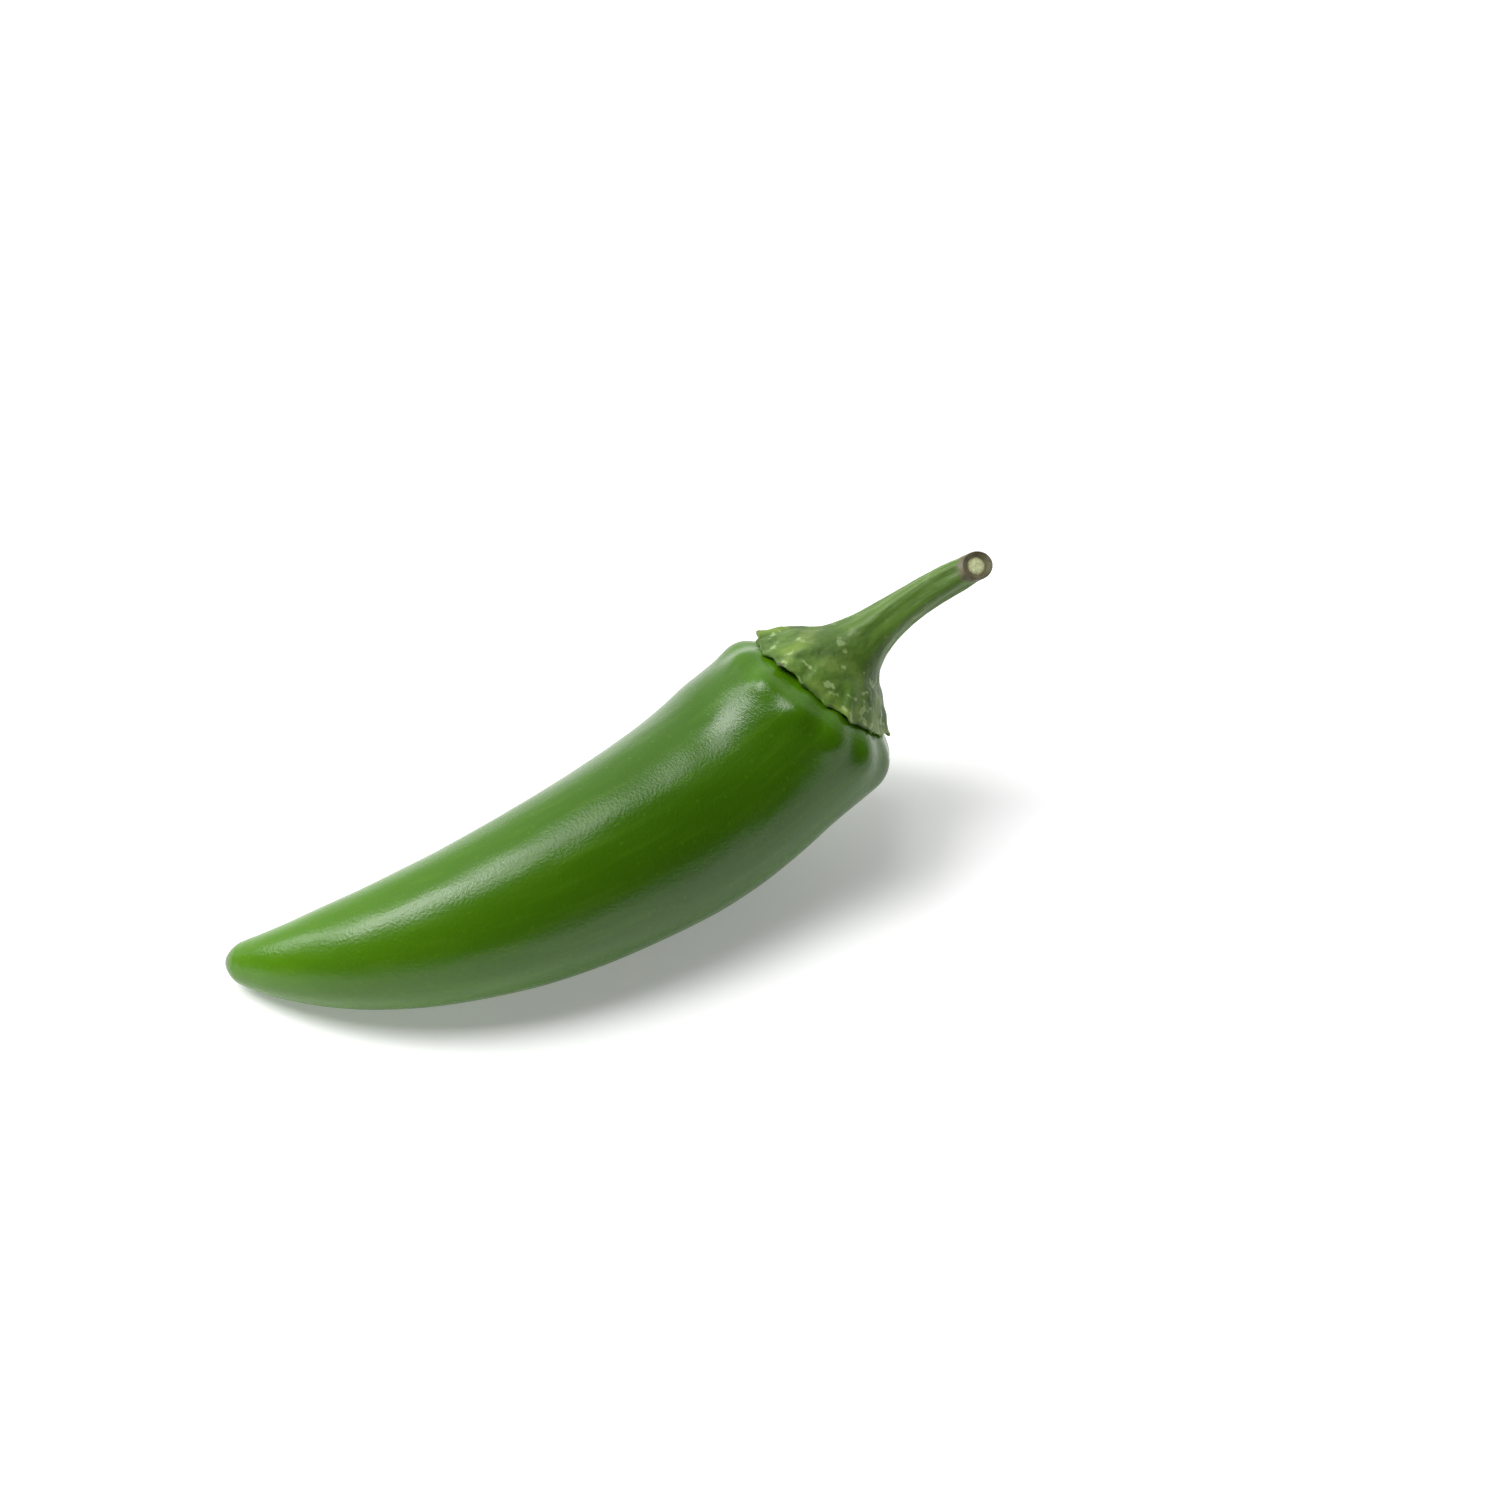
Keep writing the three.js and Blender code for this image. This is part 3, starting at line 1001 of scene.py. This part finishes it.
def add_softbox(name, turn, climb, width, height, power):
    """A rectangular light that faces the pepper from a turn about Z and a climb above it, both
    in degrees."""
    around = math.radians(turn)
    above = math.radians(climb)
    flat = Vector((math.cos(around), math.sin(around), 0))
    towards = flat * math.cos(above) + Vector((0, 0, math.sin(above)))
    light = bpy.data.lights.new(name, "AREA")
    light.shape = "RECTANGLE"
    light.size = width
    light.size_y = height
    light.energy = power
    lamp = bpy.data.objects.new(name, light)
    lamp.location = towards * SOFTBOX_DISTANCE
    lamp.rotation_euler = towards.to_track_quat("Z", "Y").to_euler()
    bpy.context.scene.collection.objects.link(lamp)


def add_world():
    """A pale backdrop behind the pepper that fades to a dark room on the near side.

    That is the light that reaches the pepper. The camera itself sees plain white.
    """
    world = bpy.data.worlds.new("studio")
    world.use_nodes = True
    tree = world.node_tree
    back = tree.nodes["Background"]
    x, y, _ = split(tree, output(node(tree, "ShaderNodeTexCoord"), "Generated"))
    away = y * math.cos(CAMERA_TURN) - x * math.sin(CAMERA_TURN)
    pale = WORLD_DARK + (WORLD_PALE - WORLD_DARK) * smooth(away, *WORLD_FADE)
    seen = output(tree.nodes.new("ShaderNodeLightPath"), "Is Camera Ray")
    feed(tree, back.inputs["Strength"], larger(seen, pale))
    back.inputs["Color"].default_value = (1, 1, 1, 1)
    bpy.context.scene.world = world


CAMERA_TURN = math.radians(-25.7)
CAMERA_CLIMB = math.radians(51)
CAMERA_DISTANCE = 457 * MM
CAMERA_LENS = 85
CAMERA_SENSOR = 36
CAMERA_CLIP = 10 * MM
LOOK_HEIGHT = 13 * MM
LOOK_LEFT = 0.03425  # the pepper lies left of the middle of the view and below it
LOOK_DOWN = 0.0214


def add_camera():
    camera = bpy.data.cameras.new("camera")
    camera.lens = CAMERA_LENS
    camera.sensor_width = CAMERA_SENSOR
    camera.clip_start = CAMERA_CLIP
    flat = Vector((-math.sin(CAMERA_TURN), math.cos(CAMERA_TURN), 0))
    forward = flat * math.cos(CAMERA_CLIMB) - Vector((0, 0, math.sin(CAMERA_CLIMB)))
    right = Vector((math.cos(CAMERA_TURN), math.sin(CAMERA_TURN), 0))
    level = Matrix((right, right.cross(forward), -forward)).transposed()
    aim = Vector((-LOOK_LEFT, -LOOK_DOWN, -1))
    swing = Vector((0, 0, -1)).rotation_difference(aim)
    view = bpy.data.objects.new("camera", camera)
    place = Vector((0, 0, LOOK_HEIGHT)) - forward * CAMERA_DISTANCE
    turned = level @ swing.inverted().to_matrix()
    view.matrix_world = Matrix.Translation(place) @ turned.to_4x4()
    bpy.context.scene.collection.objects.link(view)
    bpy.context.scene.camera = view


# ---- Making the pepper ----


def box_of(piece):
    corners = [vertex.co for vertex in piece.data.vertices]
    low = Vector([min(corner[axis] for corner in corners) for axis in range(3)])
    high = Vector([max(corner[axis] for corner in corners) for axis in range(3)])
    return low, high


def seat_on_frame(pieces):
    """Moves every piece alike, so that the pod lies where the frame's pod lies."""
    low, high = box_of(pieces["pod"])
    frame_low, frame_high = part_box("pod")
    shift = (frame_low + frame_high - low - high) / 2
    shift.z = 0
    for piece in pieces.values():
        piece.data.transform(Matrix.Translation(shift))


def make_pepper():
    """The pod, the calyx, the stem and the pith, each a plain mesh object."""
    calyx_skin = green_skin("calyx_skin")
    stem_skin = green_skin("stem_skin")
    plans = {
        "pod": ("pepper_pod", pod_profile(), POD_SEGMENTS, shape_pod, pod_skin()),
        "calyx": ("pepper_calyx", calyx_profile(), CALYX_SEGMENTS, shape_green, calyx_skin),
        "stem": ("pepper_stem", stem_profile(), STEM_SEGMENTS, shape_stem, stem_skin),
        "pith": ("stem_pith", pith_profile(), PITH_SEGMENTS, shape_pith, pith_flesh()),
    }
    spine = add_spine()
    pieces = {part: lathe_piece(*plan, spine) for part, plan in plans.items()}
    bpy.data.objects.remove(spine)
    seat_on_frame(pieces)
    return pieces


pieces = make_pepper()
for piece in pieces.values():
    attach(piece, "root")
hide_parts("pod")
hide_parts("calyx")
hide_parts("stem")

add_floor()
add_world()
add_softbox("key_softbox", turn=149, climb=55, width=0.6, height=0.72, power=15)
add_softbox("top_softbox", turn=117, climb=73, width=0.6, height=0.84, power=8)
add_softbox("low_softbox", turn=136, climb=30, width=0.5, height=0.4, power=4.5)
add_camera()
bpy.context.scene.view_settings.view_transform = "Standard"
